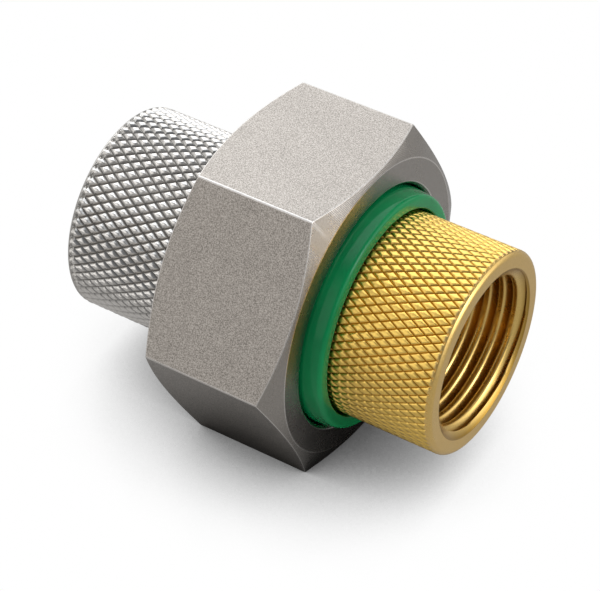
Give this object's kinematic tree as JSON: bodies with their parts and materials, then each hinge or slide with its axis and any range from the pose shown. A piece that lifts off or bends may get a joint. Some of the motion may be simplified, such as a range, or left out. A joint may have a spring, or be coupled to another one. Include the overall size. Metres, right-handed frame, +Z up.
{
  "type": "face seal union fitting",
  "caption": "Short pipe union: a hexagonal nut draws a knurled steel tailpiece and a knurled brass tailpiece together on a flat gasket, kept apart by a green plastic sleeve.",
  "frame": {"origin": "on the surface that the nut rests on, under the middle of the fitting's length", "axes": "+X along the fitting from the steel end to the brass end, +Z up, square to the nut's level flats"},
  "size_m": [0.05, 0.0438, 0.038],
  "materials": {
    "plated_steel": "bright plated, with a deep diamond knurl",
    "satin_steel": "satin, fine blasted grain, with bright worn edges",
    "green_plastic": "glossy moulded plastic",
    "yellow_brass": "turned brass with a fine diamond knurl",
    "black_rubber": "matt rubber"
  },
  "bodies": {
    "steel_end": {"steel_tailpiece": "plated_steel", "face_gasket": "black_rubber"},
    "sleeve": {"insulating_sleeve": "green_plastic"},
    "nut": {"union_nut": "satin_steel"},
    "brass_end": {"brass_tailpiece": "yellow_brass"}
  },
  "joints": [
    {"name": "thread_travel", "type": "slide", "parent": "steel_end", "child": "sleeve", "axis": [1, 0, 0], "range_m": [0, 0.0075]},
    {"name": "nut_turn", "type": "hinge", "parent": "sleeve", "child": "nut", "pos_m": [0.0005, 0, 0.019], "axis": [1, 0, 0], "range_deg": [0, 1800]},
    {"name": "tail_swivel", "type": "hinge", "parent": "sleeve", "child": "brass_end", "pos_m": [0.0009, 0, 0.019], "axis": [1, 0, 0], "continuous": true}
  ],
  "couplings": [
    {"joint": "nut_turn", "follows": "thread_travel", "rad_per_m": 4188.8}
  ]
}
